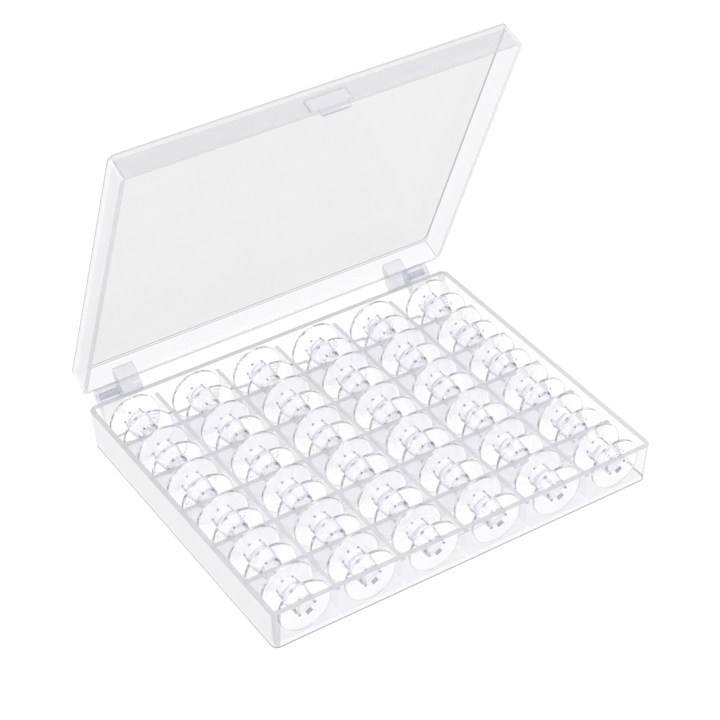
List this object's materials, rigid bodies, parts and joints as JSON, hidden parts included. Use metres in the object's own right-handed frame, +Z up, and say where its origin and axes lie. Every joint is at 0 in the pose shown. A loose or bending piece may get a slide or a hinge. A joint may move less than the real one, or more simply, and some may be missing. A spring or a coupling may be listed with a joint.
{
  "type": "bobbin case",
  "caption": "Clear rectangular storage case for sewing machine bobbins: a tray divided into a grid of compartments, a hinged lid with a snap latch, and a removable bobbin in each compartment.",
  "frame": {"origin": "centre of the tray's underside", "axes": "+X to the right seen from the front, +Y to the back where the hinges are, +Z up"},
  "size_m": [0.158, 0.142, 0.1433],
  "materials": {
    "clear_case": "clear glossy polystyrene",
    "clear_lid": "clear glossy polystyrene",
    "clear_bobbin": "clear glossy plastic, very slightly hazy"
  },
  "bodies": {
    "tray": {"tray": "clear_case"},
    "lid": {"lid": "clear_lid"},
    "bobbin_a1": {"bobbin_a1": "clear_bobbin"},
    "bobbin_a2": {"bobbin_a2": "clear_bobbin"},
    "bobbin_a3": {"bobbin_a3": "clear_bobbin"},
    "bobbin_a4": {"bobbin_a4": "clear_bobbin"},
    "bobbin_a5": {"bobbin_a5": "clear_bobbin"},
    "bobbin_a6": {"bobbin_a6": "clear_bobbin"},
    "bobbin_b1": {"bobbin_b1": "clear_bobbin"},
    "bobbin_b2": {"bobbin_b2": "clear_bobbin"},
    "bobbin_b3": {"bobbin_b3": "clear_bobbin"},
    "bobbin_b4": {"bobbin_b4": "clear_bobbin"},
    "bobbin_b5": {"bobbin_b5": "clear_bobbin"},
    "bobbin_b6": {"bobbin_b6": "clear_bobbin"},
    "bobbin_c1": {"bobbin_c1": "clear_bobbin"},
    "bobbin_c2": {"bobbin_c2": "clear_bobbin"},
    "bobbin_c3": {"bobbin_c3": "clear_bobbin"},
    "bobbin_c4": {"bobbin_c4": "clear_bobbin"},
    "bobbin_c5": {"bobbin_c5": "clear_bobbin"},
    "bobbin_c6": {"bobbin_c6": "clear_bobbin"},
    "bobbin_d1": {"bobbin_d1": "clear_bobbin"},
    "bobbin_d2": {"bobbin_d2": "clear_bobbin"},
    "bobbin_d3": {"bobbin_d3": "clear_bobbin"},
    "bobbin_d4": {"bobbin_d4": "clear_bobbin"},
    "bobbin_d5": {"bobbin_d5": "clear_bobbin"},
    "bobbin_d6": {"bobbin_d6": "clear_bobbin"},
    "bobbin_e1": {"bobbin_e1": "clear_bobbin"},
    "bobbin_e2": {"bobbin_e2": "clear_bobbin"},
    "bobbin_e3": {"bobbin_e3": "clear_bobbin"},
    "bobbin_e4": {"bobbin_e4": "clear_bobbin"},
    "bobbin_e5": {"bobbin_e5": "clear_bobbin"},
    "bobbin_e6": {"bobbin_e6": "clear_bobbin"},
    "bobbin_f1": {"bobbin_f1": "clear_bobbin"},
    "bobbin_f2": {"bobbin_f2": "clear_bobbin"},
    "bobbin_f3": {"bobbin_f3": "clear_bobbin"},
    "bobbin_f4": {"bobbin_f4": "clear_bobbin"},
    "bobbin_f5": {"bobbin_f5": "clear_bobbin"},
    "bobbin_f6": {"bobbin_f6": "clear_bobbin"}
  },
  "joints": [
    {"name": "lid_hinge", "type": "hinge", "parent": "tray", "child": "lid", "pos_m": [0, 0.06875, 0.0158], "axis": [-1, 0, 0], "range_deg": [-68, 112]},
    {"name": "bobbin_a1_lift", "type": "slide", "parent": "tray", "child": "bobbin_a1", "axis": [0, 0, 1], "range_m": [0, 0.026]},
    {"name": "bobbin_a2_lift", "type": "slide", "parent": "tray", "child": "bobbin_a2", "axis": [0, 0, 1], "range_m": [0, 0.026]},
    {"name": "bobbin_a3_lift", "type": "slide", "parent": "tray", "child": "bobbin_a3", "axis": [0, 0, 1], "range_m": [0, 0.026]},
    {"name": "bobbin_a4_lift", "type": "slide", "parent": "tray", "child": "bobbin_a4", "axis": [0, 0, 1], "range_m": [0, 0.026]},
    {"name": "bobbin_a5_lift", "type": "slide", "parent": "tray", "child": "bobbin_a5", "axis": [0, 0, 1], "range_m": [0, 0.026]},
    {"name": "bobbin_a6_lift", "type": "slide", "parent": "tray", "child": "bobbin_a6", "axis": [0, 0, 1], "range_m": [0, 0.026]},
    {"name": "bobbin_b1_lift", "type": "slide", "parent": "tray", "child": "bobbin_b1", "axis": [0, 0, 1], "range_m": [0, 0.026]},
    {"name": "bobbin_b2_lift", "type": "slide", "parent": "tray", "child": "bobbin_b2", "axis": [0, 0, 1], "range_m": [0, 0.026]},
    {"name": "bobbin_b3_lift", "type": "slide", "parent": "tray", "child": "bobbin_b3", "axis": [0, 0, 1], "range_m": [0, 0.026]},
    {"name": "bobbin_b4_lift", "type": "slide", "parent": "tray", "child": "bobbin_b4", "axis": [0, 0, 1], "range_m": [0, 0.026]},
    {"name": "bobbin_b5_lift", "type": "slide", "parent": "tray", "child": "bobbin_b5", "axis": [0, 0, 1], "range_m": [0, 0.026]},
    {"name": "bobbin_b6_lift", "type": "slide", "parent": "tray", "child": "bobbin_b6", "axis": [0, 0, 1], "range_m": [0, 0.026]},
    {"name": "bobbin_c1_lift", "type": "slide", "parent": "tray", "child": "bobbin_c1", "axis": [0, 0, 1], "range_m": [0, 0.026]},
    {"name": "bobbin_c2_lift", "type": "slide", "parent": "tray", "child": "bobbin_c2", "axis": [0, 0, 1], "range_m": [0, 0.026]},
    {"name": "bobbin_c3_lift", "type": "slide", "parent": "tray", "child": "bobbin_c3", "axis": [0, 0, 1], "range_m": [0, 0.026]},
    {"name": "bobbin_c4_lift", "type": "slide", "parent": "tray", "child": "bobbin_c4", "axis": [0, 0, 1], "range_m": [0, 0.026]},
    {"name": "bobbin_c5_lift", "type": "slide", "parent": "tray", "child": "bobbin_c5", "axis": [0, 0, 1], "range_m": [0, 0.026]},
    {"name": "bobbin_c6_lift", "type": "slide", "parent": "tray", "child": "bobbin_c6", "axis": [0, 0, 1], "range_m": [0, 0.026]},
    {"name": "bobbin_d1_lift", "type": "slide", "parent": "tray", "child": "bobbin_d1", "axis": [0, 0, 1], "range_m": [0, 0.026]},
    {"name": "bobbin_d2_lift", "type": "slide", "parent": "tray", "child": "bobbin_d2", "axis": [0, 0, 1], "range_m": [0, 0.026]},
    {"name": "bobbin_d3_lift", "type": "slide", "parent": "tray", "child": "bobbin_d3", "axis": [0, 0, 1], "range_m": [0, 0.026]},
    {"name": "bobbin_d4_lift", "type": "slide", "parent": "tray", "child": "bobbin_d4", "axis": [0, 0, 1], "range_m": [0, 0.026]},
    {"name": "bobbin_d5_lift", "type": "slide", "parent": "tray", "child": "bobbin_d5", "axis": [0, 0, 1], "range_m": [0, 0.026]},
    {"name": "bobbin_d6_lift", "type": "slide", "parent": "tray", "child": "bobbin_d6", "axis": [0, 0, 1], "range_m": [0, 0.026]},
    {"name": "bobbin_e1_lift", "type": "slide", "parent": "tray", "child": "bobbin_e1", "axis": [0, 0, 1], "range_m": [0, 0.026]},
    {"name": "bobbin_e2_lift", "type": "slide", "parent": "tray", "child": "bobbin_e2", "axis": [0, 0, 1], "range_m": [0, 0.026]},
    {"name": "bobbin_e3_lift", "type": "slide", "parent": "tray", "child": "bobbin_e3", "axis": [0, 0, 1], "range_m": [0, 0.026]},
    {"name": "bobbin_e4_lift", "type": "slide", "parent": "tray", "child": "bobbin_e4", "axis": [0, 0, 1], "range_m": [0, 0.026]},
    {"name": "bobbin_e5_lift", "type": "slide", "parent": "tray", "child": "bobbin_e5", "axis": [0, 0, 1], "range_m": [0, 0.026]},
    {"name": "bobbin_e6_lift", "type": "slide", "parent": "tray", "child": "bobbin_e6", "axis": [0, 0, 1], "range_m": [0, 0.026]},
    {"name": "bobbin_f1_lift", "type": "slide", "parent": "tray", "child": "bobbin_f1", "axis": [0, 0, 1], "range_m": [0, 0.026]},
    {"name": "bobbin_f2_lift", "type": "slide", "parent": "tray", "child": "bobbin_f2", "axis": [0, 0, 1], "range_m": [0, 0.026]},
    {"name": "bobbin_f3_lift", "type": "slide", "parent": "tray", "child": "bobbin_f3", "axis": [0, 0, 1], "range_m": [0, 0.026]},
    {"name": "bobbin_f4_lift", "type": "slide", "parent": "tray", "child": "bobbin_f4", "axis": [0, 0, 1], "range_m": [0, 0.026]},
    {"name": "bobbin_f5_lift", "type": "slide", "parent": "tray", "child": "bobbin_f5", "axis": [0, 0, 1], "range_m": [0, 0.026]},
    {"name": "bobbin_f6_lift", "type": "slide", "parent": "tray", "child": "bobbin_f6", "axis": [0, 0, 1], "range_m": [0, 0.026]}
  ]
}
